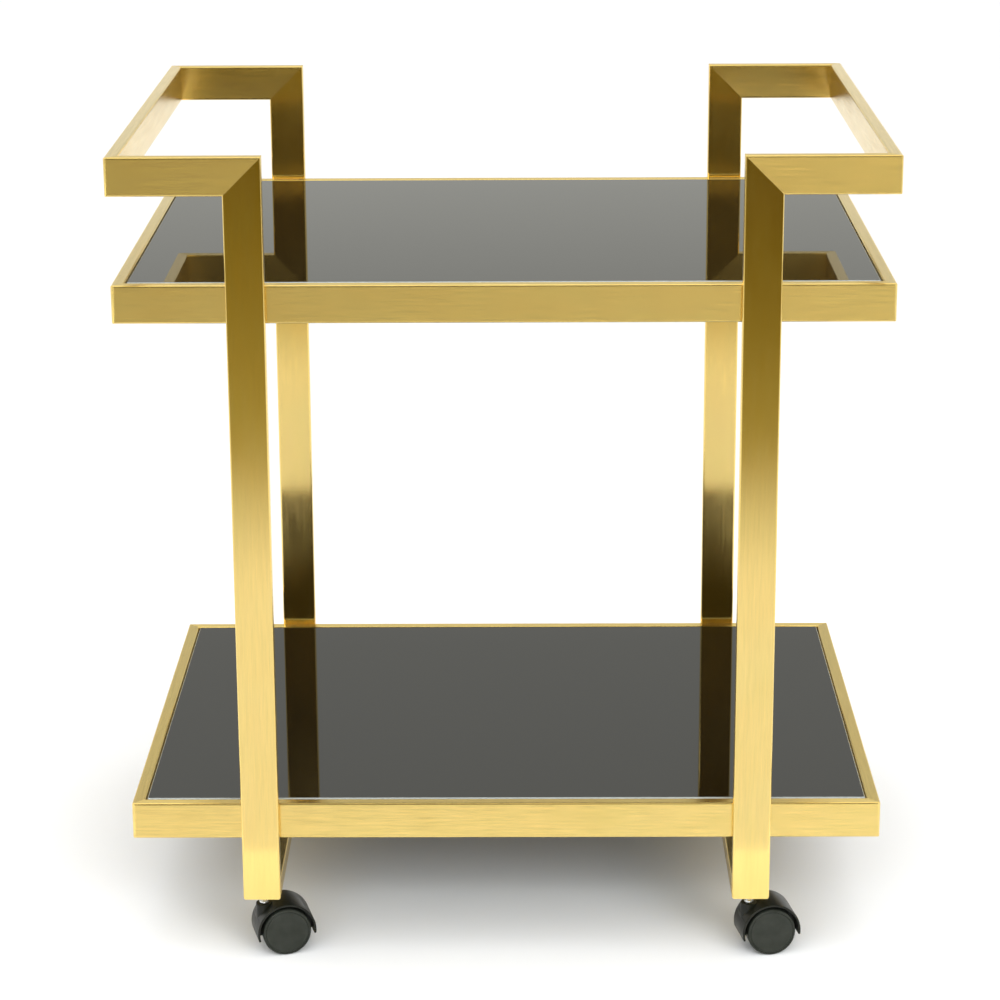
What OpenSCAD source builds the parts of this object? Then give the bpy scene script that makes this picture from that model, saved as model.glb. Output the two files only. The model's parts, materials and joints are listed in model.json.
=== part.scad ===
// Two-shelf bar cart. Two welded side frames of flat rectangular tube stand on swivel casters,
// and carry two mitred shelf frames with tempered glass tops. Units are millimetres.
// The origin is on the floor under the middle of the cart: X runs along it, Y to its back, Z up.

/* [Shelves] */
// Length of a shelf frame, and of the whole cart
shelf_w = 762; // [700:1:820]
// Depth of a shelf frame
shelf_d = 550; // [480:1:600]
// Height of the upper shelf's rim
upper_z = 705; // [600:1:740]
// Height of the lower shelf's rim
lower_z = 165; // [140:1:240]
// Radius of a shelf frame's corners, seen from above
shelf_corner_r = 4; // [2:0.5:8]

/* [Tubes] */
// Wide face of the frame tubes
face = 38; // [37:0.5:42]
// Narrow face of the frame tubes
thick = 12.7; // [12:0.1:15]
// Wall of the tubes
wall = 1.2; // [1:0.1:1.5]
// Outer corner radius of the tubes
edge_r = 2; // [1.8:0.1:2.5]

/* [Side frames] */
// Height of the handles' top face
handle_top = 833; // [800:1:900]
// Height of the legs' lower ends
leg_bottom = 65; // [64:0.5:68]
// Distance from the middle of the cart to a leg's inner side
leg_in = 230.5; // [200:0.5:260]
// Height of the rails that join the feet of the legs
foot_rail_h = 19; // [18:0.5:25]

/* [Glass] */
// Thickness of the glass
glass_t = 5; // [4:0.5:6]
// Depth of the glass below the rim
glass_drop = 0; // [0:0.1:2]
// Gap between the glass and its frame
glass_gap = 1.5; // [1:0.1:3]

/* [Casters] */
// Diameter of the wheels
wheel_d = 50; // [48:0.5:50]
// Distance from the swivel's axis to the axle
trail = 20; // [19:0.5:22]
// Outer radius of the hood round the wheels
hood_r = 30.5; // [30:0.5:31]
// Width of the hood along the axle
hood_w = 40; // [38:1:44]
// Width of the body between a caster's two wheels
body_w = 12.4; // [12:0.1:14]
// Swivel of the two left casters
yaw_left = 15; // [0:1:45]
// Swivel of the two right casters
yaw_right = 10; // [0:1:45]

/* [Hidden] */
$fn = 64;
past = 10;                 // how far a cutting shape runs past what it cuts
handle_x = shelf_w / 2;    // outer face of a handle
leg_out = leg_in + face;
leg_x = leg_in + face / 2;
nut_flange_t = 1;          // rivet nut flange, the gap between a shelf frame and a leg
leg_face_in = shelf_d / 2 + nut_flange_t;
leg_face_out = leg_face_in + thick;
leg_y = leg_face_in + thick / 2;
weld_corner_r = 3;         // ground corners of the welded handles
foot_plate_t = 1.5;
foot_corner_r = 2.5;        // ground lower corners of the legs, seen from the front
foot_plate_gap = 0.1;

// Glass supports
pad_t = 1.5;
pad_r = 5;
ledge_w = 14;
ledge_h = 12;
ledge_t = 1.5;
ledge_gap = 1;             // left between the ends of two ledges
open_x = shelf_w / 2 - thick;
open_y = shelf_d / 2 - thick;
ledge_drop = glass_drop + glass_t + pad_t;
pad_x_out = 325;
pad_x_in = 110;
pad_xs = [-pad_x_out, -pad_x_in, pad_x_in, pad_x_out];

// Shelf bolts, M6
bolt_drop = 29;
bolt_dx = 11;
bolt_r = 3;
bolt_hole_r = 3.3;
bolt_head_r = 5.2;
bolt_head_h = 3;
socket_r = 2.3;
socket_h = 1.8;
washer_r = 6.2;
washer_t = 1.2;
nut_bore_r = 3.06;
nut_barrel_r = 4.5;
nut_hole_r = 4.56;
nut_flange_r = 6.5;
nut_bulge_r = 5.6;
nut_bulge_h = 2.2;
nut_h = 9.8;
bolt_reach = 9.4;           // how far the bolts go into the legs

// Casters
stem_inset = 8;
stem_y = leg_face_in - stem_inset;
thread_r = 5;
thread_h = 14;
bush_r = 7;
bush_hole_r = 7.05;
bush_h = 16;
bush_bore_r = 5.06;
boss_r = 8.5;
boss_top = leg_bottom - 12;
boss_bottom = 32;
collar_gap = 0.4;
pin_r = 4;
pin_bottom = 31;
pin_bore_r = 4.06;
pin_bore_bottom = 30;
ring_z = 46;
ring_t = 1;
ring_slack = 0.15;
ring_in_r = 3.36;
ring_out_r = 4.9;
stem_groove_r = 3.3;
hood_groove_r = 4.96;
hood_t = 2.3;
hood_in_r = hood_r - hood_t;
hood_from = -8;
hood_to = 195;
wheel_r = wheel_d / 2;
wheel_gap = 0.8;
wheel_y0 = body_w / 2 + wheel_gap;
wheel_y1 = hood_w / 2;
face_round = 2.5;
back_round = 1.5;
axle_r = 3;
axle_hole_r = 3.02;
axle_inset = 2.4;           // depth of an axle's end below the wheel's face
axle_end = wheel_y1 - axle_inset;
hub_bore_r = 3.06;
hub_wall = 2;
hub_bore_end = wheel_y1 - hub_wall;
hub_r = 8;
recess_r = 20;
recess_depth = 9;
axle_boss_r = 9;

SIDES = ["left", "right"];
ENDS = ["front", "rear"];
SHELVES = ["upper", "lower"];
FRAME_PARTS = ["front_leg", "rear_leg", "front_arm", "rear_arm", "handle_bar", "foot_rail"];
SHELF_PARTS = ["front_rail", "rear_rail", "left_rail", "right_rail", "glass", "glass_ledges",
    "glass_pads", "shelf_bolts", "bolt_washers", "rivet_nuts"];
CASTER_PARTS = ["caster_stem", "snap_ring", "hood", "axle", "outer_wheel", "inner_wheel"];

GOLD = [0.80, 0.66, 0.32];
GLASS = [0.06, 0.06, 0.06];
PLASTIC = [0.16, 0.17, 0.15];
STEEL = [0.75, 0.75, 0.73];
CLEAR = [0.85, 0.87, 0.88];

// ---- Shared shapes ----

// Rectangle with round corners, centred
module rounded(size, r) {
    square([size.x - 2 * r, size.y], center = true);
    square([size.x, size.y - 2 * r], center = true);
    for (x = [-1, 1], y = [-1, 1]) translate([x * (size.x / 2 - r), y * (size.y / 2 - r)]) circle(r);
}

// Rectangular tube standing on Z, centred
module tube(size, length) {
    linear_extrude(length, center = true) difference() {
        rounded(size, edge_r);
        rounded(size - 2 * wall * [1, 1], edge_r - wall);
    }
}

// Tube along X, with its narrow face along Y
module tube_x(length) rotate([90, 0, 90]) tube([thick, face], length);

// Tube along Y, size given across X and Z
module tube_y(size, length) rotate([90, 0, 0]) tube(size, length);

// Moves what is built in the right rear quarter to the quarter with these signs
module quarter(x, y) {
    if (x > 0 && y > 0) children();
    if (x < 0 && y > 0) mirror([1, 0, 0]) children();
    if (x > 0 && y < 0) mirror([0, 1, 0]) children();
    if (x < 0 && y < 0) mirror([1, 0, 0]) mirror([0, 1, 0]) children();
}

module all_quarters() for (x = [-1, 1], y = [-1, 1]) quarter(x, y) children();

// What a plan mitre at the corner (x, y) removes from the tube that runs along X
module plan_mitre_x(x, y) {
    linear_extrude(2 * handle_top) polygon([
        [x + past, y + past],
        [x - thick - past, y - thick - past],
        [x + past, y - thick - past]
    ]);
}

// The same for the tube that runs along Y
module plan_mitre_y(x, y) {
    linear_extrude(2 * handle_top) polygon([
        [x + past, y + past],
        [x - thick - past, y - thick - past],
        [x - thick - past, y + past]
    ]);
}

// What the mitre between a leg and its arm removes: above is true for the leg
module shoulder_mitre(above) {
    outer = above ? leg_out + past : leg_in - past;
    level = above ? handle_top + past : handle_top - face - past;
    translate([0, leg_face_out + past, 0]) rotate([90, 0, 0]) linear_extrude(thick + 2 * past) polygon([
        [leg_in - past, handle_top + past],
        [leg_out + past, handle_top - face - past],
        [outer, level]
    ]);
}

// Column with ground corners that trims a welded loop
module outline(x, y, r) linear_extrude(2 * handle_top) rounded([2 * x, 2 * y], r);

// A shape at each bolt of the right rear leg, on an axis that points along +Y from the origin
module at_bolts(z) {
    for (dx = [-bolt_dx, bolt_dx]) translate([leg_x + dx, 0, z - bolt_drop]) rotate([-90, 0, 0]) children();
}

// ---- Side frames ----

// Block that grinds the lower corners of the right rear leg round
module foot_corners() {
    translate([leg_x, leg_face_out + past, handle_top]) rotate([90, 0, 0])
        linear_extrude(thick + 2 * past) rounded([face, 2 * (handle_top - leg_bottom)], foot_corner_r);
}

module leg(x, y) color(GOLD) quarter(x, y) intersection() {
    difference() {
        translate([leg_x, leg_y, (leg_bottom + handle_top) / 2]) tube([face, thick], handle_top - leg_bottom);
        shoulder_mitre(true);
        for (z = [upper_z, lower_z]) at_bolts(z) translate([0, 0, leg_face_in - past])
            cylinder(r = nut_hole_r, h = past + thick / 2);
    }
    foot_corners();
}

module arm(x, y) color(GOLD) quarter(x, y) intersection() {
    difference() {
        translate([(leg_in + handle_x) / 2, leg_y, handle_top - face / 2]) tube_x(handle_x - leg_in);
        shoulder_mitre(false);
        plan_mitre_x(handle_x, leg_face_out);
    }
    outline(handle_x, leg_face_out, weld_corner_r);
}

module handle_bar(x) color(GOLD) quarter(x, 1) intersection() {
    difference() {
        translate([handle_x - thick / 2, 0, handle_top - face / 2]) tube_y([thick, face], 2 * leg_face_out);
        for (y = [-1, 1]) quarter(1, y) plan_mitre_y(handle_x, leg_face_out);
    }
    outline(handle_x, leg_face_out, weld_corner_r);
}

module foot_rail(x) color(GOLD) quarter(x, 1) difference() {
    translate([leg_x, 0, leg_bottom + foot_rail_h / 2]) tube_y([face, foot_rail_h], 2 * leg_face_in);
    for (y = [-1, 1]) translate([leg_x, y * stem_y, leg_bottom - past])
        cylinder(r = bush_hole_r, h = past + foot_rail_h / 2);
}

module leg_end_plates() color(GOLD) all_quarters() intersection() {
    translate([leg_x, leg_y, leg_bottom]) linear_extrude(foot_plate_t)
        rounded([face, thick] - 2 * (wall + foot_plate_gap) * [1, 1], edge_r - wall);
    foot_corners();
}

module caster_bushes() color(STEEL) all_quarters() translate([leg_x, stem_y, leg_bottom]) difference() {
    cylinder(r = bush_r, h = bush_h);
    translate([0, 0, -past]) cylinder(r = bush_bore_r, h = bush_h + 2 * past);
}

// ---- Shelves: z is the height of the rim ----

module long_rail(z, y) color(GOLD) quarter(1, y) intersection() {
    difference() {
        translate([0, shelf_d / 2 - thick / 2, z - face / 2]) tube_x(shelf_w);
        for (x = [-1, 1]) quarter(x, 1) {
            plan_mitre_x(shelf_w / 2, shelf_d / 2);
            at_bolts(z) translate([0, 0, open_y - past]) cylinder(r = bolt_hole_r, h = thick + 2 * past);
        }
    }
    outline(shelf_w / 2, shelf_d / 2, shelf_corner_r);
}

module end_rail(z, x) color(GOLD) quarter(x, 1) intersection() {
    difference() {
        translate([shelf_w / 2 - thick / 2, 0, z - face / 2]) tube_y([thick, face], shelf_d);
        for (y = [-1, 1]) quarter(1, y) plan_mitre_y(shelf_w / 2, shelf_d / 2);
    }
    outline(shelf_w / 2, shelf_d / 2, shelf_corner_r);
}

module glass(z) color(GLASS) translate([0, 0, z - glass_drop - glass_t]) linear_extrude(glass_t)
    rounded(2 * [open_x - glass_gap, open_y - glass_gap], edge_r);

// Angle section with its corner at the origin: one leg along +X, the other down
module ledge_angle(length) rotate([90, 0, 0]) linear_extrude(length, center = true) {
    translate([0, -ledge_t]) square([ledge_w, ledge_t]);
    translate([0, -ledge_h]) square([ledge_t, ledge_h]);
}

module glass_ledges(z) color(GOLD) translate([0, 0, z - ledge_drop]) {
    for (y = [0, 180]) rotate(y) {
        translate([0, -open_y, 0]) rotate(90) ledge_angle(2 * open_x);
        translate([-open_x, 0, 0]) ledge_angle(2 * (open_y - ledge_w - ledge_gap));
    }
}

module glass_pads(z) color(CLEAR) for (x = pad_xs, y = [-1, 1])
    translate([x, y * (open_y - ledge_w / 2), z - ledge_drop]) cylinder(r = pad_r, h = pad_t);

module shelf_bolts(z) color(STEEL) all_quarters() at_bolts(z) difference() {
    head_top = open_y - washer_t - bolt_head_h;
    union() {
        translate([0, 0, head_top]) cylinder(r = bolt_head_r, h = bolt_head_h);
        translate([0, 0, head_top + bolt_head_h / 2])
            cylinder(r = bolt_r, h = leg_face_in + bolt_reach - head_top - bolt_head_h / 2);
    }
    translate([0, 0, head_top - past])
        cylinder(r = socket_r, h = past + socket_h, $fn = 6);
}

module bolt_washers(z) color(STEEL) all_quarters() at_bolts(z) translate([0, 0, open_y - washer_t])
    linear_extrude(washer_t) difference() {
        circle(washer_r);
        circle(bolt_hole_r);
    }

module rivet_nuts(z) color(STEEL) all_quarters() at_bolts(z) difference() {
    union() {
        translate([0, 0, shelf_d / 2]) cylinder(r = nut_flange_r, h = nut_flange_t);
        translate([0, 0, shelf_d / 2]) cylinder(r = nut_barrel_r, h = nut_flange_t + nut_h);
        translate([0, 0, leg_face_in + wall]) cylinder(r = nut_bulge_r, h = nut_bulge_h);
    }
    translate([0, 0, shelf_d / 2 - past]) cylinder(r = nut_bore_r, h = nut_h + 3 * past);
}

// ---- Casters: built with the swivel's axis on Z and the axle along Y ----

module caster_place(x, y) {
    yaw = x < 0 ? yaw_left : yaw_right;
    translate([x * leg_x, y * stem_y, 0]) rotate(-y * yaw) children();
}

module at_axle() translate([trail, 0, wheel_r]) rotate([90, 0, 0]) children();

module caster_stem(x, y) color(STEEL) caster_place(x, y) difference() {
    union() {
        translate([0, 0, boss_top + collar_gap])
            cylinder(r = thread_r, h = leg_bottom + thread_h - boss_top - collar_gap);
        translate([0, 0, pin_bottom]) cylinder(r = pin_r, h = leg_bottom - pin_bottom);
    }
    translate([0, 0, ring_z - ring_slack]) linear_extrude(ring_t + 2 * ring_slack) difference() {
        circle(thread_r);
        circle(stem_groove_r);
    }
}

module snap_ring(x, y) color(STEEL) caster_place(x, y) translate([0, 0, ring_z])
    linear_extrude(ring_t) difference() {
        circle(ring_out_r);
        circle(ring_in_r);
    }

// Side view of what the hood leaves open below, seen along the axle
module below_hood() {
    reach = 3 * hood_r;
    polygon([
        [0, 0],
        reach * [cos(hood_from), sin(hood_from)],
        reach * [1, -1],
        reach * [-1, -1],
        reach * [cos(hood_to), sin(hood_to)]
    ]);
}

module hood(x, y) color(PLASTIC) caster_place(x, y) difference() {
    union() {
        at_axle() linear_extrude(hood_w, center = true) difference() {
            circle(hood_r);
            circle(hood_in_r);
            below_hood();
        }
        at_axle() linear_extrude(body_w, center = true) {
            difference() {
                circle(hood_r - hood_t / 2);
                below_hood();
            }
            circle(axle_boss_r);
        }
        difference() {
            translate([0, 0, boss_bottom]) cylinder(r = boss_r, h = boss_top - boss_bottom);
            at_axle() cylinder(r = hood_in_r, h = 2 * hood_w, center = true);
        }
    }
    at_axle() cylinder(r = axle_hole_r, h = 2 * hood_w, center = true);
    translate([0, 0, pin_bore_bottom]) cylinder(r = pin_bore_r, h = leg_bottom);
    translate([0, 0, ring_z - ring_slack]) cylinder(r = hood_groove_r, h = ring_t + 2 * ring_slack);
}

module axle(x, y) color(STEEL) caster_place(x, y) at_axle()
    cylinder(r = axle_r, h = 2 * axle_end, center = true);

// side is 1 for the wheel that faces out of the cart
module wheel(x, y, side) color(PLASTIC) caster_place(x, y) at_axle()
    rotate([y * side > 0 ? 180 : 0, 0, 0]) rotate_extrude() difference() {
        union() {
            translate([0, wheel_y0]) square([wheel_r - face_round, wheel_y1 - wheel_y0]);
            translate([0, wheel_y0]) square([wheel_r - back_round, back_round + 1]);
            translate([0, wheel_y0 + back_round])
                square([wheel_r, wheel_y1 - wheel_y0 - face_round - back_round]);
            translate([wheel_r - face_round, wheel_y1 - face_round]) circle(face_round);
            translate([wheel_r - back_round, wheel_y0 + back_round]) circle(back_round);
        }
        translate([0, wheel_y0 - past]) square([hub_bore_r, hub_bore_end - wheel_y0 + past]);
        translate([hub_r, wheel_y0 - past]) square([recess_r - hub_r, past + recess_depth]);
    }

// ---- One line or loop for each family of nodes ----

module show(name) children();

for (s = SIDES) {
    x = s == "left" ? -1 : 1;
    show(str(s, "_front_leg")) leg(x, -1);
    show(str(s, "_rear_leg")) leg(x, 1);
    show(str(s, "_front_arm")) arm(x, -1);
    show(str(s, "_rear_arm")) arm(x, 1);
    show(str(s, "_handle_bar")) handle_bar(x);
    show(str(s, "_foot_rail")) foot_rail(x);
}
leg_end_plates();
caster_bushes();
for (s = SHELVES) {
    z = s == "upper" ? upper_z : lower_z;
    show(str(s, "_front_rail")) long_rail(z, -1);
    show(str(s, "_rear_rail")) long_rail(z, 1);
    show(str(s, "_left_rail")) end_rail(z, -1);
    show(str(s, "_right_rail")) end_rail(z, 1);
    show(str(s, "_glass")) glass(z);
    show(str(s, "_glass_ledges")) glass_ledges(z);
    show(str(s, "_glass_pads")) glass_pads(z);
    show(str(s, "_shelf_bolts")) shelf_bolts(z);
    show(str(s, "_bolt_washers")) bolt_washers(z);
    show(str(s, "_rivet_nuts")) rivet_nuts(z);
}
for (e = ENDS, s = SIDES) {
    x = s == "left" ? -1 : 1;
    y = e == "front" ? -1 : 1;
    show(str(e, "_", s, "_caster_stem")) caster_stem(x, y);
    show(str(e, "_", s, "_snap_ring")) snap_ring(x, y);
    show(str(e, "_", s, "_hood")) hood(x, y);
    show(str(e, "_", s, "_axle")) axle(x, y);
    show(str(e, "_", s, "_outer_wheel")) wheel(x, y, 1);
    show(str(e, "_", s, "_inner_wheel")) wheel(x, y, -1);
}
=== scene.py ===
"""Looks of the two-shelf bar cart: brushed gold tube, black glass, and plastic casters."""

import json
import math

import bmesh
import bpy
from mathutils import Matrix, Vector


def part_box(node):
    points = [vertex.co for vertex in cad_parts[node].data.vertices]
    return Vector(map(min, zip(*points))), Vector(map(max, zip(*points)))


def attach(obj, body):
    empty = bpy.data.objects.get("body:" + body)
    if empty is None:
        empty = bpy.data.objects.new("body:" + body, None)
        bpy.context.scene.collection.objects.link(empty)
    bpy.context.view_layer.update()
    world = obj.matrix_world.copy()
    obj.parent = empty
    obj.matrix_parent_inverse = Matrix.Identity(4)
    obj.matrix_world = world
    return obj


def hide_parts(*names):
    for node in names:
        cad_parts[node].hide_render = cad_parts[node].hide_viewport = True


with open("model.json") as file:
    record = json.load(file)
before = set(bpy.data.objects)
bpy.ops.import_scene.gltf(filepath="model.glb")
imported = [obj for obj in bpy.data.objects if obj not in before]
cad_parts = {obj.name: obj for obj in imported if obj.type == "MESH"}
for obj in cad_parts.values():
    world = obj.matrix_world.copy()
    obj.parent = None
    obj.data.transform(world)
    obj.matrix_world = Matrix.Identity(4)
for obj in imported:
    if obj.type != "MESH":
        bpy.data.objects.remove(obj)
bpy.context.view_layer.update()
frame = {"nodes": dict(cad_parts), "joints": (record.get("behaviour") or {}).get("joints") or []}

SIDES = ("left", "right")
ENDS = ("front", "rear")
SHELVES = ("upper", "lower")
MM = 0.001

# ---------------------------------------------------------------- shader helpers


def add_node(tree, kind, inputs=None, **settings):
    """Adds a shader node, sets its properties, and sets or links its inputs."""
    made = tree.nodes.new(kind)
    for key, value in settings.items():
        setattr(made, key, value)
    for key, value in (inputs or {}).items():
        if isinstance(value, bpy.types.NodeSocket):
            tree.links.new(value, made.inputs[key])
        else:
            made.inputs[key].default_value = value
    return made


def new_material(name, color, **values):
    """A material with one Principled shader; returns it with its tree and shader."""
    material = bpy.data.materials.new(name)
    material.use_nodes = True
    tree = material.node_tree
    shader = tree.nodes["Principled BSDF"]
    shader.inputs["Base Color"].default_value = (*color, 1)
    for key, value in values.items():
        shader.inputs[key.replace("_", " ")].default_value = value
    return material, tree, shader


def object_point(tree):
    return add_node(tree, "ShaderNodeTexCoord").outputs["Object"]


def noise(tree, scale, detail=2.0, roughness=0.5):
    """Noise in object space with scale cells per metre along X, Y and Z."""
    fitted = add_node(tree, "ShaderNodeMapping", {"Vector": object_point(tree), "Scale": scale})
    made = add_node(tree, "ShaderNodeTexNoise", {"Vector": fitted.outputs["Vector"], "Scale": 1.0,
                                                 "Detail": detail, "Roughness": roughness})
    return made.outputs["Fac"]


def remap(tree, value, low, high, start=0.3, end=0.7):
    """Maps a noise value from start..end to low..high."""
    made = add_node(tree, "ShaderNodeMapRange", {"Value": value, "From Min": start, "From Max": end,
                                                 "To Min": low, "To Max": high})
    return made.outputs["Result"]


def combine(tree, how, first, second):
    made = add_node(tree, "ShaderNodeMath", {0: first, 1: second}, operation=how)
    return made.outputs["Value"]


def blend_colors(tree, factor, first, second):
    made = add_node(tree, "ShaderNodeMix", data_type="RGBA")
    tree.links.new(factor, made.inputs["Factor"])
    for place, color in (("A", first), ("B", second)):
        socket = next(s for s in made.inputs if s.name == place and s.type == "RGBA")
        if isinstance(color, bpy.types.NodeSocket):
            tree.links.new(color, socket)
        else:
            socket.default_value = (*color, 1)
    return next(s for s in made.outputs if s.type == "RGBA")


def ramp(tree, factor, stops):
    """Colour ramp through (position, (r, g, b)) stops."""
    made = add_node(tree, "ShaderNodeValToRGB", {"Fac": factor})
    elements = made.color_ramp.elements
    while len(elements) < len(stops):
        elements.new(0.5)
    for element, (position, color) in zip(elements, stops):
        element.position = position
        element.color = (*color, 1)
    return made.outputs["Color"]


# ---------------------------------------------------------------- materials

GOLD_LIGHT = (0.93, 0.705, 0.245)
GOLD_DEEP = (0.90, 0.69, 0.225)
GOLD_WARM = (0.94, 0.68, 0.22)
BRUSH_DARK = (0.45, 0.33, 0.10)

# By grain axis: the uprights (Z) are polished finer than the arms and rails (X, Y)
GOLD_ROUGHNESS = {"X": 0.235, "Y": 0.225, "Z": 0.18}
BRUSH_LINES = {"X": 0.22, "Y": 0.18, "Z": 0.10}
GOLD_UNEVEN = 0.02


def brushed_gold(axis):
    """Lacquered brushed gold with its grain along one axis of the object."""
    along = "XYZ".index(axis)

    def scale(across, length):
        return tuple(length if i == along else across for i in range(3))

    material, tree, shader = new_material("brushed_gold_" + axis.lower(), GOLD_LIGHT, Metallic=1.0,
                                          Anisotropic=1.0)
    rough = GOLD_ROUGHNESS[axis]
    hairline = noise(tree, scale(1000, 40), 3, 0.65)
    streak = noise(tree, scale(480, 18), 3, 0.6)
    patch = noise(tree, scale(55, 16), 3, 0.6)
    cloud = noise(tree, (11, 11, 11), 2)
    tint = blend_colors(tree, remap(tree, patch, 0, 1), GOLD_LIGHT, GOLD_DEEP)
    tint = blend_colors(tree, remap(tree, cloud, 0, 0.8), tint, GOLD_WARM)
    lines = combine(tree, "ADD", remap(tree, hairline, 0.0, BRUSH_LINES[axis]),
                    remap(tree, streak, 0.0, BRUSH_LINES[axis]))
    tint = blend_colors(tree, lines, tint, BRUSH_DARK)
    tree.links.new(tint, shader.inputs["Base Color"])
    uneven = combine(tree, "ADD", remap(tree, streak, -GOLD_UNEVEN, GOLD_UNEVEN),
                     remap(tree, patch, rough - GOLD_UNEVEN, rough + GOLD_UNEVEN))
    tree.links.new(uneven, shader.inputs["Roughness"])
    tangent = add_node(tree, "ShaderNodeTangent", direction_type="RADIAL", axis=axis)
    tree.links.new(tangent.outputs["Tangent"], shader.inputs["Tangent"])
    return material


def black_glass():
    """Polished glass, black behind, with the faint unevenness of a tempered sheet."""
    material, tree, shader = new_material("black_glass", (0.004, 0.004, 0.0035), IOR=1.52)
    film = noise(tree, (14, 14, 14), 4, 0.6)
    tree.links.new(remap(tree, film, 0.008, 0.022), shader.inputs["Roughness"])
    wave = noise(tree, (9, 9, 9), 1)
    bump = add_node(tree, "ShaderNodeBump", {"Height": wave, "Strength": 0.1, "Distance": 0.02 * MM})
    tree.links.new(bump.outputs["Normal"], shader.inputs["Normal"])
    return material


def glass_edge():
    """Ground edge of the glass, dull grey beside the black face."""
    material, tree, shader = new_material("glass_edge", (0.30, 0.32, 0.31), Roughness=0.18, IOR=1.52)
    grind = noise(tree, (900, 900, 900), 3)
    tint = blend_colors(tree, remap(tree, grind, 0, 1), (0.20, 0.22, 0.21), (0.42, 0.44, 0.43))
    tree.links.new(tint, shader.inputs["Base Color"])
    tree.links.new(remap(tree, grind, 0.1, 0.3), shader.inputs["Roughness"])
    return material


def moulded_plastic(name, dark, light, roughness):
    """Satin moulded plastic with a fine spark-eroded texture and faint flow marks."""
    material, tree, shader = new_material(name, dark, IOR=1.47, Specular_IOR_Level=0.25)
    flow = noise(tree, (70, 70, 70), 4, 0.6)
    grit = noise(tree, (2600, 2600, 2600), 2)
    tree.links.new(blend_colors(tree, remap(tree, flow, 0, 1), dark, light), shader.inputs["Base Color"])
    rough = combine(tree, "ADD", remap(tree, flow, -0.05, 0.05),
                    remap(tree, grit, roughness - 0.03, roughness + 0.03))
    tree.links.new(rough, shader.inputs["Roughness"])
    bump = add_node(tree, "ShaderNodeBump", {"Height": grit, "Strength": 0.25, "Distance": 0.02 * MM})
    tree.links.new(bump.outputs["Normal"], shader.inputs["Normal"])
    return material


def plated_steel():
    """Bright zinc plate with a cloudy tint."""
    material, tree, shader = new_material("zinc_steel", (0.78, 0.78, 0.76), Metallic=1.0)
    cloud = noise(tree, (260, 260, 260), 3)
    tree.links.new(blend_colors(tree, remap(tree, cloud, 0, 1), (0.72, 0.75, 0.78), (0.84, 0.82, 0.74)),
                   shader.inputs["Base Color"])
    tree.links.new(remap(tree, cloud, 0.2, 0.34), shader.inputs["Roughness"])
    return material


def clear_pvc():
    """Soft clear bumper, slightly cloudy."""
    material, tree, shader = new_material("clear_pvc", (0.85, 0.88, 0.88), Transmission_Weight=0.7, IOR=1.53)
    cloud = noise(tree, (400, 400, 400), 3)
    tree.links.new(blend_colors(tree, remap(tree, cloud, 0, 1), (0.8, 0.84, 0.85), (0.9, 0.92, 0.92)),
                   shader.inputs["Base Color"])
    tree.links.new(remap(tree, cloud, 0.1, 0.3), shader.inputs["Roughness"])
    return material


GOLD = {axis: brushed_gold(axis) for axis in "XYZ"}
GLASS = black_glass()
GLASS_EDGE = glass_edge()
HOOD_PLASTIC = moulded_plastic("caster_plastic", (0.006, 0.0065, 0.004), (0.011, 0.012, 0.008), 0.33)
WHEEL_PLASTIC = moulded_plastic("wheel_plastic", (0.015, 0.017, 0.012), (0.025, 0.0275, 0.0215), 0.38)
STEEL = plated_steel()
CLEAR = clear_pvc()

# ---------------------------------------------------------------- CAD nodes

# Material by how the node's name ends; the tubes are brushed along their length
FINISH = {("front_leg", "rear_leg"): GOLD["Z"],
          ("front_arm", "rear_arm", "front_rail", "rear_rail", "ledges", "plates"): GOLD["X"],
          ("handle_bar", "foot_rail", "left_rail", "right_rail"): GOLD["Y"],
          ("stem", "ring", "axle", "bolts", "washers", "nuts", "bushes"): STEEL,
          ("glass",): GLASS,
          ("hood",): HOOD_PLASTIC,
          ("wheel",): WHEEL_PLASTIC,
          ("pads",): CLEAR}
for name, node in frame["nodes"].items():
    for endings, material in FINISH.items():
        if name.endswith(endings):
            for material_slot in node.material_slots:
                material_slot.material = material

# ---------------------------------------------------------------- pieces in place of CAD nodes


def mesh_piece(name, shape, body, slot, materials, *replaced):
    """Turns a bmesh in the cart's frame into a named piece that rides on a body."""
    bmesh.ops.recalc_face_normals(shape, faces=shape.faces)
    mesh = bpy.data.meshes.new(name)
    shape.to_mesh(mesh)
    shape.free()
    made = bpy.data.objects.new(name, mesh)
    bpy.context.scene.collection.objects.link(made)
    for material in materials:
        mesh.materials.append(material)
    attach(made, body)
    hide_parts(*replaced)
    return made


def loop_of(shape, points):
    return [shape.verts.new(point) for point in points]


def bridge(shape, first, second, material_index=0, smooth=True):
    """Quads between two closed rings with as many points each."""
    count = len(first)
    for i in range(count):
        face = shape.faces.new((first[i], first[(i + 1) % count], second[(i + 1) % count], second[i]))
        face.material_index = material_index
        face.smooth = smooth


def rounded_rectangle(width, depth, radius, steps=6):
    """Corner points of a centred rectangle with round corners, anticlockwise."""
    points = []
    for quarter, (x, y) in enumerate(((1, 1), (-1, 1), (-1, -1), (1, -1))):
        for i in range(steps + 1):
            angle = math.radians(90 * (quarter + i / steps))
            points.append((x * (width / 2 - radius) + radius * math.cos(angle),
                           y * (depth / 2 - radius) + radius * math.sin(angle)))
    return points


GLASS_ARRIS = 1.1 * MM
GLASS_CORNER = 2.5 * MM


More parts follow.
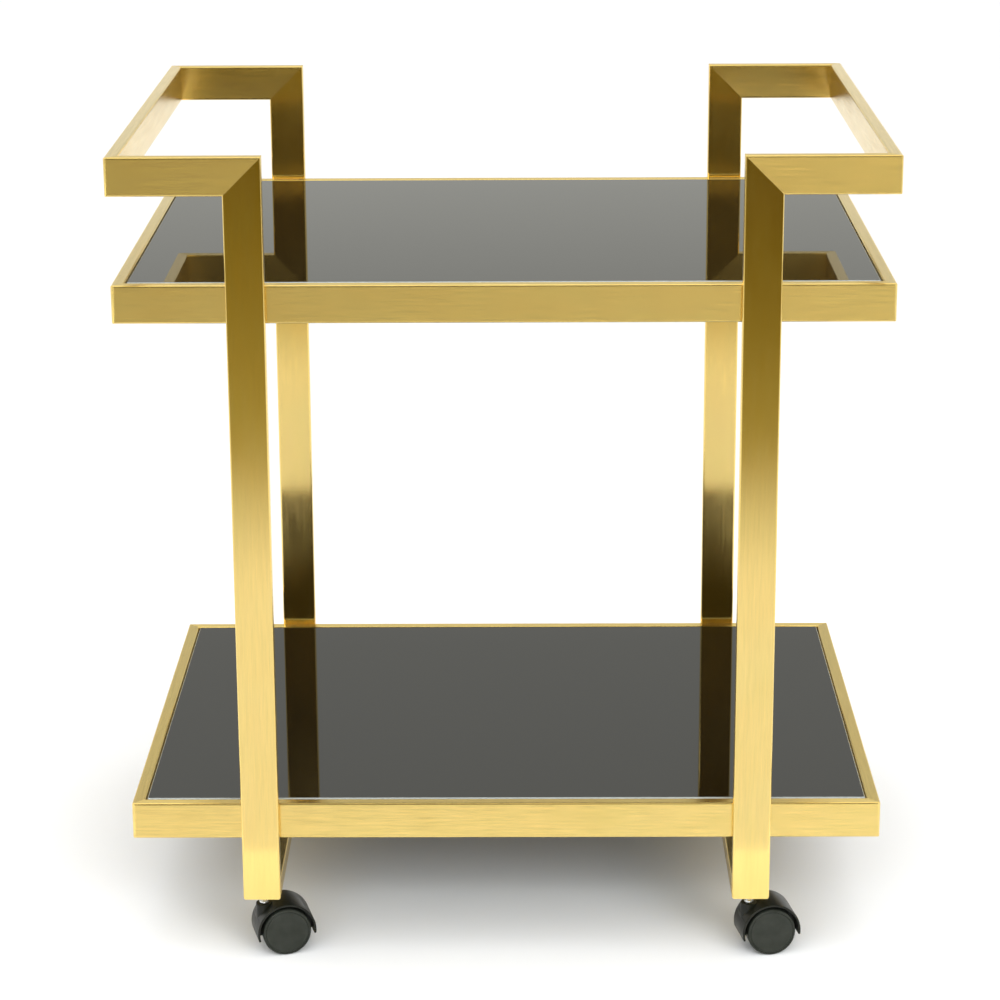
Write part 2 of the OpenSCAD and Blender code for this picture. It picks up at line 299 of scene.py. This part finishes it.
def glass_pane(shelf):
    """Sheet with a ground arris round both faces: black flat faces, grey edges."""
    node = shelf + "_glass"
    low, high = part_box(node)
    shape = bmesh.new()
    middle = (low + high) / 2
    levels = ((low.z, GLASS_ARRIS), (low.z + GLASS_ARRIS, 0),
              (high.z - GLASS_ARRIS, 0), (high.z, GLASS_ARRIS))
    rings = []
    for z, inset in levels:
        outline = rounded_rectangle(high.x - low.x - 2 * inset, high.y - low.y - 2 * inset,
                                    GLASS_CORNER - inset)
        rings.append(loop_of(shape, [(middle.x + x, middle.y + y, z) for x, y in outline]))
    for first, second in zip(rings, rings[1:]):
        bridge(shape, first, second, material_index=1, smooth=False)
    shape.faces.new(rings[0][::-1])
    shape.faces.new(rings[-1])
    mesh_piece(shelf + "_glass_pane", shape, "cart_frame", "black_glass", (GLASS, GLASS_EDGE), node)


JOINTS = {joint["name"]: joint for joint in frame["joints"]}


def caster_matrix(caster):
    """Place of a caster: origin under its swivel, X towards the axle, Z up."""
    swivel = Vector(JOINTS[caster + "_swivel"]["pos_m"])
    axle = Vector(JOINTS[caster + "_outer_spin"]["pos_m"])
    toward = Vector((axle.x - swivel.x, axle.y - swivel.y, 0))
    turned = Matrix.Rotation(math.atan2(toward.y, toward.x), 4, "Z")
    return Matrix.Translation((swivel.x, swivel.y, 0)) @ turned, toward.length, axle.z


def lathe(shape, profile, place, steps):
    """Turns (radius, height) points round the Z axis of place; a point on the axis closes the end."""
    rings = []
    for radius, height in profile:
        if radius == 0:
            rings.append([shape.verts.new(place @ Vector((0, 0, height)))])
            continue
        angles = (math.tau * i / steps for i in range(steps))
        rings.append(loop_of(shape, [place @ Vector((radius * math.cos(a), radius * math.sin(a), height))
                                     for a in angles]))
    for first, second in zip(rings, rings[1:]):
        if len(first) > 1 and len(second) > 1:
            bridge(shape, first, second)
            continue
        tip, rim = (first[0], second) if len(first) == 1 else (second[0], first)
        for i in range(steps):
            face = shape.faces.new((tip, rim[i], rim[(i + 1) % steps]))
            face.smooth = True


def arc(center, radius, start, end, steps):
    """Points on an arc, angles in degrees."""
    angles = [math.radians(start + (end - start) * i / steps) for i in range(steps + 1)]
    return [(center[0] + radius * math.cos(a), center[1] + radius * math.sin(a)) for a in angles]


# All sizes of caster parts are in millimetres; Y runs along the axle from the caster's middle
WHEEL_R, WHEEL_Y0, WHEEL_Y1 = 25.0, 7.0, 20.0
WHEEL_SHOULDER, WHEEL_BACK = 1.9, 1.5
CAP_R, CAP_BEVEL, CAP_GROOVE = 22.0, 0.5, 0.6
HUB_BORE_R, HUB_BORE_END, HUB_R = 3.06, 18.0, 8.0
RECESS_R, RECESS_Y = 20.0, 16.0
WHEEL_STEPS = 128


def wheel_profile():
    """Half section of a wheel as (radius, Y) points."""
    face = WHEEL_Y1
    profile = [(0, HUB_BORE_END), (HUB_BORE_R, HUB_BORE_END), (HUB_BORE_R, WHEEL_Y0), (HUB_R, WHEEL_Y0),
               (HUB_R, RECESS_Y), (RECESS_R, RECESS_Y), (RECESS_R, WHEEL_Y0)]
    profile += arc((WHEEL_R - WHEEL_BACK, WHEEL_Y0 + WHEEL_BACK), WHEEL_BACK, -90, 0, 5)
    profile += arc((WHEEL_R - WHEEL_SHOULDER, face - WHEEL_SHOULDER), WHEEL_SHOULDER, 0, 90, 8)
    profile += [(CAP_R + 1.5 * CAP_BEVEL, face), (CAP_R + CAP_BEVEL, face - CAP_GROOVE),
                (CAP_R + CAP_BEVEL / 2, face - CAP_GROOVE), (CAP_R, face - CAP_BEVEL / 2),
                (CAP_R - CAP_BEVEL / 2, face), (0, face)]
    return profile


def sharpen(piece, degrees=35):
    """Keeps edges over an angle sharp on a smooth piece."""
    piece.data.set_sharp_from_angle(angle=math.radians(degrees))


def wheel(caster, which):
    """One of a caster's two wheels: shouldered tread, a groove, and a bevelled cap."""
    place, reach, height = caster_matrix(caster)
    outward = -1 if (which == "outer") == caster.startswith("front") else 1
    turn = Matrix.Rotation(math.radians(-90 * outward), 4, "X")
    shape = bmesh.new()
    profile = [(r * MM, y * MM) for r, y in wheel_profile()]
    lathe(shape, profile, place @ Matrix.Translation((reach, 0, height)) @ turn, WHEEL_STEPS)
    node = f"{caster}_{which}_wheel"
    sharpen(mesh_piece(f"{caster}_{which}_twin_wheel", shape, node, "wheel_plastic", (WHEEL_PLASTIC,), node))


STEM_R, STEM_ROOT_R, STEM_PITCH = 5.0, 4.45, 1.5
STEM_TOP, STEM_LEAD = 79.0, 1.2
STEM_COLLAR_Z, STEM_THREAD_Z = 53.4, 54.6
PIN_R, PIN_BOTTOM, PIN_BEVEL = 4.0, 31.0, 0.6
RING_GROOVE_R, RING_GROOVE = 3.3, (45.85, 47.15)
THREAD_ROWS, STEM_STEPS = 6, 36


def thread_radius(z, angle):
    """Radius of the stem's rolled thread, fading out at both ends."""
    turn = (z / STEM_PITCH - angle / math.tau) % 1
    depth = (STEM_R - STEM_ROOT_R) * abs(2 * turn - 1)
    fade = min(1, (z - STEM_THREAD_Z) / STEM_PITCH, (STEM_TOP - STEM_LEAD - z) / STEM_PITCH)
    return STEM_R - depth * max(0, fade)


def caster_stem(caster):
    """Swivel pin with a snap ring groove, and a threaded stem above it."""
    place, _, _ = caster_matrix(caster)
    low, high = RING_GROOVE
    rows = [(PIN_BOTTOM, PIN_R - PIN_BEVEL), (PIN_BOTTOM + PIN_BEVEL, PIN_R),
            (low, PIN_R), (low, RING_GROOVE_R), (high, RING_GROOVE_R), (high, PIN_R),
            (STEM_COLLAR_Z, PIN_R), (STEM_COLLAR_Z, STEM_R)]
    threaded = STEM_TOP - STEM_LEAD - STEM_THREAD_Z
    count = round(threaded / STEM_PITCH * THREAD_ROWS)
    rows += [(STEM_THREAD_Z + threaded * i / count, None) for i in range(count + 1)]
    rows.append((STEM_TOP, STEM_R - STEM_LEAD))
    shape = bmesh.new()
    rings = []
    for z, radius in rows:
        points = []
        for i in range(STEM_STEPS):
            angle = math.tau * i / STEM_STEPS
            r = thread_radius(z, angle) if radius is None else radius
            points.append(place @ Vector((r * MM * math.cos(angle), r * MM * math.sin(angle), z * MM)))
        rings.append(loop_of(shape, points))
    for first, second in zip(rings, rings[1:]):
        bridge(shape, first, second)
    shape.faces.new(rings[0][::-1])
    shape.faces.new(rings[-1])
    node = caster + "_caster_stem"
    sharpen(mesh_piece(caster + "_threaded_stem", shape, "cart_frame", "zinc_steel", (STEEL,), node))


HOOD_R, HOOD_T, HOOD_W = 30.5, 2.3, 40.0
HOOD_FROM, HOOD_TO = -8.0, 195.0
HOOD_RIM = 0.8
HOOD_STEPS, SPACE_STEPS, ROD_STEPS = 90, 180, 72
RIM_TURNS = (25, 50, 75)
BODY_W, AXLE_BOSS_R, AXLE_HOLE_R = 12.4, 9.0, 3.02
BOSS_R, BOSS_BOTTOM, BOSS_TOP, BOSS_ROUND = 8.5, 32.0, 53.0, 1.0
PIN_BORE_R, PIN_BORE_BOTTOM, GROOVE_R = 4.06, 30.0, 4.96


def solid(name, shape):
    """A loose mesh object from a bmesh, for boolean work."""
    bmesh.ops.recalc_face_normals(shape, faces=shape.faces)
    mesh = bpy.data.meshes.new(name)
    shape.to_mesh(mesh)
    shape.free()
    made = bpy.data.objects.new(name, mesh)
    bpy.context.scene.collection.objects.link(made)
    return made


def carve(target, tool, operation):
    """Joins the tool to the target, or cuts it away, and removes the tool."""
    step = target.modifiers.new("carve", "BOOLEAN")
    step.object, step.operation, step.solver = tool, operation, "EXACT"
    graph = bpy.context.evaluated_depsgraph_get()
    mesh = bpy.data.meshes.new_from_object(target.evaluated_get(graph))
    target.modifiers.clear()
    target.data = mesh
    bpy.data.objects.remove(tool)


def across_axle(reach, height):
    """Place of a shape that is turned about the axle, with its Z along the caster's Y."""
    return Matrix.Translation((reach, 0, height)) @ Matrix.Rotation(math.radians(-90), 4, "X")


def hood_shell(reach, height):
    """Half-round cover over both wheels, with round rims and ends."""
    shape = bmesh.new()
    trim = math.degrees(HOOD_RIM / HOOD_R)
    stations = [(HOOD_FROM + trim + (HOOD_TO - HOOD_FROM - 2 * trim) * i / HOOD_STEPS, 0)
                for i in range(HOOD_STEPS + 1)]
    for turn in RIM_TURNS:
        ahead = trim * math.sin(math.radians(turn))
        inset = HOOD_RIM * (1 - math.cos(math.radians(turn)))
        stations.insert(0, (HOOD_FROM + trim - ahead, inset))
        stations.append((HOOD_TO - trim + ahead, inset))
    rings = []
    for degrees, inset in stations:
        angle = math.radians(degrees)
        outline = rounded_rectangle(HOOD_T - 2 * inset, HOOD_W - 2 * inset, HOOD_RIM - inset)
        points = []
        for x, y in outline:
            r = HOOD_R - HOOD_T / 2 + x
            points.append(((reach + r * math.cos(angle)) * MM, y * MM, (height + r * math.sin(angle)) * MM))
        rings.append(loop_of(shape, points))
    for first, second in zip(rings, rings[1:]):
        bridge(shape, first, second)
    shape.faces.new(rings[0])
    shape.faces.new(rings[-1])
    return solid("hood", shape)


def web(reach, height):
    """Plate between the wheels, under the shell."""
    shape = bmesh.new()
    outline = [(0, 0)] + arc((0, 0), HOOD_R - HOOD_T / 2, HOOD_FROM + 1, HOOD_TO - 1, HOOD_STEPS)
    sides = [loop_of(shape, [((reach + x) * MM, y * MM, (height + z) * MM) for x, z in outline])
             for y in (-BODY_W / 2, BODY_W / 2)]
    bridge(shape, *sides)
    for side in sides:
        shape.faces.new(side)
    return solid("web", shape)


def turned(name, profile, place=Matrix.Identity(4), steps=ROD_STEPS):
    """A turned solid from (radius, height) points in millimetres."""
    shape = bmesh.new()
    lathe(shape, [(r * MM, z * MM) for r, z in profile], place, steps)
    return solid(name, shape)


def rod(name, radius, length, place, steps=ROD_STEPS):
    half = length / 2
    return turned(name, [(0, -half), (radius, -half), (radius, half), (0, half)], place, steps)


def hood_mesh(reach, height):
    """Caster housing: shell, web, axle boss and stem boss, with their bores."""
    axle = across_axle(reach * MM, height * MM)
    boss = turned("boss", [(0, BOSS_BOTTOM), (BOSS_R, BOSS_BOTTOM)]
                  + arc((BOSS_R - BOSS_ROUND, BOSS_TOP - BOSS_ROUND), BOSS_ROUND, 0, 90, 6) + [(0, BOSS_TOP)])
    carve(boss, rod("space", HOOD_R - HOOD_T, 2 * HOOD_W, axle, SPACE_STEPS), "DIFFERENCE")
    body = hood_shell(reach, height)
    for piece in (web(reach, height), rod("axle_boss", AXLE_BOSS_R, BODY_W, axle), boss):
        carve(body, piece, "UNION")
    low, high = RING_GROOVE
    top = BOSS_TOP + HOOD_T
    bore = [(0, PIN_BORE_BOTTOM), (PIN_BORE_R, PIN_BORE_BOTTOM), (PIN_BORE_R, low), (GROOVE_R, low),
            (GROOVE_R, high), (PIN_BORE_R, high), (PIN_BORE_R, top), (0, top)]
    carve(body, turned("bore", bore), "DIFFERENCE")
    carve(body, rod("axle_hole", AXLE_HOLE_R, 2 * HOOD_W, axle), "DIFFERENCE")
    mesh = body.data
    bpy.data.objects.remove(body)
    return mesh


def hood(caster, mesh):
    """Places a copy of the housing on one caster."""
    place, _, _ = caster_matrix(caster)
    shape = bmesh.new()
    shape.from_mesh(mesh)
    bmesh.ops.transform(shape, matrix=place, verts=shape.verts)
    for face in shape.faces:
        face.smooth = True
    node = caster + "_hood"
    sharpen(mesh_piece(caster + "_housing", shape, caster + "_fork", "caster_plastic", (HOOD_PLASTIC,), node))


_, trail, axle_z = caster_matrix("front_left")
housing = hood_mesh(trail / MM, axle_z / MM)

for shelf in SHELVES:
    glass_pane(shelf)
for caster in (f"{end}_{side}" for end in ENDS for side in SIDES):
    caster_stem(caster)
    hood(caster, housing)
    for which in ("outer", "inner"):
        wheel(caster, which)

# ---------------------------------------------------------------- studio


def grid_object(name, size, place, turn=(0, 0, 0)):
    """A flat stage rectangle; size is its full width and depth."""
    mesh = bpy.data.meshes.new(name)
    shape = bmesh.new()
    bmesh.ops.create_grid(shape, x_segments=1, y_segments=1, size=0.5)
    bmesh.ops.scale(shape, vec=(*size, 1), verts=shape.verts)
    shape.to_mesh(mesh)
    shape.free()
    made = bpy.data.objects.new(name, mesh)
    bpy.context.scene.collection.objects.link(made)
    made.location = place
    made.rotation_euler = [math.radians(a) for a in turn]
    return made


FLOOR_SIZE, FLOOR_COLOR = 60, (0.88, 0.88, 0.885)


def floor():
    made = grid_object("floor", (FLOOR_SIZE, FLOOR_SIZE), (0, 0, 0))
    material, _, _ = new_material("floor", FLOOR_COLOR, Roughness=0.9)
    made.data.materials.append(material)


UNSEEN_BY = ("camera", "diffuse", "transmission", "volume_scatter", "shadow")


def flag(name, size, place, turn, left, right, blend):
    """A card that only reflections see, glowing by its own height (Y).

    left and right are the (position, colour) stops at its two sides. They blend into each
    other between -blend and blend from its middle."""
    made = grid_object(name, size, place, turn)
    for sight in UNSEEN_BY:
        setattr(made, "visible_" + sight, False)
    material = bpy.data.materials.new(name)
    material.use_nodes = True
    tree = material.node_tree
    parts = add_node(tree, "ShaderNodeSeparateXYZ", {"Vector": object_point(tree)})
    height = size[1] / 2
    along = remap(tree, parts.outputs["Y"], 0, 1, -height, height)
    side = remap(tree, parts.outputs["X"], 0, 1, -blend, blend)
    color = blend_colors(tree, side, ramp(tree, along, left), ramp(tree, along, right))
    glow = add_node(tree, "ShaderNodeEmission", {"Color": color})
    tree.links.new(glow.outputs["Emission"], tree.nodes["Material Output"].inputs["Surface"])
    made.data.materials.append(material)


def softbox(name, place, size, radiance, color=(1, 1, 1)):
    """A rectangular area light of the given radiance, aimed at the origin and not reflected."""
    data = bpy.data.lights.new(name, "AREA")
    data.color = color
    data.shape = "RECTANGLE"
    data.size, data.size_y = size
    data.energy = radiance * math.pi * size[0] * size[1]
    made = bpy.data.objects.new(name, data)
    bpy.context.scene.collection.objects.link(made)
    made.location = place
    made.rotation_euler = (Vector() - Vector(place)).to_track_quat("-Z", "Y").to_euler()
    made.visible_glossy = False


BLUE_SHARE = 0.92


def grey(value, blue=BLUE_SHARE):
    """A warm grey, or a neutral one where blue is 1."""
    return (value, value, value * blue)


# Brightness of the white studio by the sine of the height above the horizon
SKY = ((0.0, grey(1.05, 1)), (0.13, grey(0.96)), (0.19, grey(0.76)), (0.24, grey(0.64)),
       (0.34, grey(0.6)), (0.5, grey(0.75)), (0.7, grey(1.35, 1)), (1.0, grey(1.5, 1)))


def studio_world():
    world = bpy.data.worlds.new("studio")
    bpy.context.scene.world = world
    world.use_nodes = True
    tree = world.node_tree
    place = add_node(tree, "ShaderNodeTexCoord").outputs["Generated"]
    parts = add_node(tree, "ShaderNodeSeparateXYZ", {"Vector": place})
    tree.links.new(ramp(tree, parts.outputs["Z"], SKY), tree.nodes["Background"].inputs["Color"])


# The floor in front of the cart, as reflections see it: lit as far as LIT_TO (Y), then fading
FLOOR_FAR, FADE_FROM, LIT_TO, FLOOR_NEAR = -8.0, -2.15, -1.5, -0.55
LIT_FLOOR = (1.05, 1.06, 1.15)
# Light level where the fading starts, and the distance over which it fades, at each side
LEFT_EDGE, LEFT_FADE = 0.415, 2.0
RIGHT_EDGE, RIGHT_FADE = 0.36, 1.2
DARK_LEVEL, FADE_STEPS = 0.07, 8
GREEN_POWER, BLUE_POWER = 1.16, 2.25


def fading_floor(edge, fade):
    """Colour stops of the floor from far to near; the dimmer it is, the warmer it looks."""
    length = FLOOR_NEAR - FLOOR_FAR
    stops = []
    for i in range(FADE_STEPS + 1):
        y = FLOOR_FAR + (FADE_FROM - FLOOR_FAR) * i / FADE_STEPS
        level = DARK_LEVEL + (edge - DARK_LEVEL) * math.exp((y - FADE_FROM) / fade)
        stops.append(((y - FLOOR_FAR) / length, (level, level ** GREEN_POWER, level ** BLUE_POWER)))
    return stops + [((LIT_TO - FLOOR_FAR) / length, LIT_FLOOR), (1.0, LIT_FLOOR)]


# The wall behind that floor, by its height as a share of WALL_HEIGHT
WALL_HEIGHT = 14
WALL_LEFT = ((0.0, (1.15, 1.1, 0.8)), (0.065, (1.15, 1.1, 0.8)), (0.09, (0.06, 0.04, 0.002)),
             (1.0, (0.05, 0.035, 0.003)))
WALL_RIGHT = ((0.0, (2.9, 2.85, 2.5)), (0.065, (2.9, 2.85, 2.5)), (0.09, (0.12, 0.085, 0.006)),
              (1.0, (0.10, 0.08, 0.015)))
RIM_GLOW = ((0.0, (9.0, 9.0, 9.0)), (1.0, (9.0, 9.0, 9.0)))


def dark_front():
    """Cards that stand for the dim half of the studio, and one whose light the rims reflect."""
    flag("floor_flag", (14, FLOOR_NEAR - FLOOR_FAR), (0, (FLOOR_FAR + FLOOR_NEAR) / 2, 0.003), (0, 0, 0),
         fading_floor(LEFT_EDGE, LEFT_FADE), fading_floor(RIGHT_EDGE, RIGHT_FADE), blend=0.5)
    flag("wall_flag", (20, WALL_HEIGHT), (0, FLOOR_FAR, WALL_HEIGHT / 2), (90, 0, 0),
         WALL_LEFT, WALL_RIGHT, blend=1.3)
    flag("rim_card", (1.5, 1.8), (-2.0, -1.6, 2.4), (45, 0, -50), RIM_GLOW, RIM_GLOW, blend=1.0)


CAMERA_PLACE = (0.0182, -3.0716, 1.3454)
CAMERA_TURN = (73.9128, 0.2695, 0.3804)
SENSOR_WIDTH, LENS, SHIFT_Y = 36, 106.7, -0.05


def camera():
    data = bpy.data.cameras.new("camera")
    data.sensor_width = SENSOR_WIDTH
    data.lens = LENS
    data.shift_y = SHIFT_Y
    made = bpy.data.objects.new("camera", data)
    bpy.context.scene.collection.objects.link(made)
    made.location = CAMERA_PLACE
    made.rotation_euler = [math.radians(a) for a in CAMERA_TURN]
    bpy.context.scene.camera = made


floor()
dark_front()
softbox("key", (1.9, -3.0, 1.9), (1.6, 1.6), radiance=5.4)
softbox("overhead", (0.0, -0.2, 3.4), (2.0, 2.0), radiance=1.0)
softbox("low_fill", (0.0, -3.2, 1.9), (4.0, 1.2), radiance=4.6, color=(0.88, 0.95, 1.0))
studio_world()
camera()
bpy.context.scene.view_settings.view_transform = "Standard"
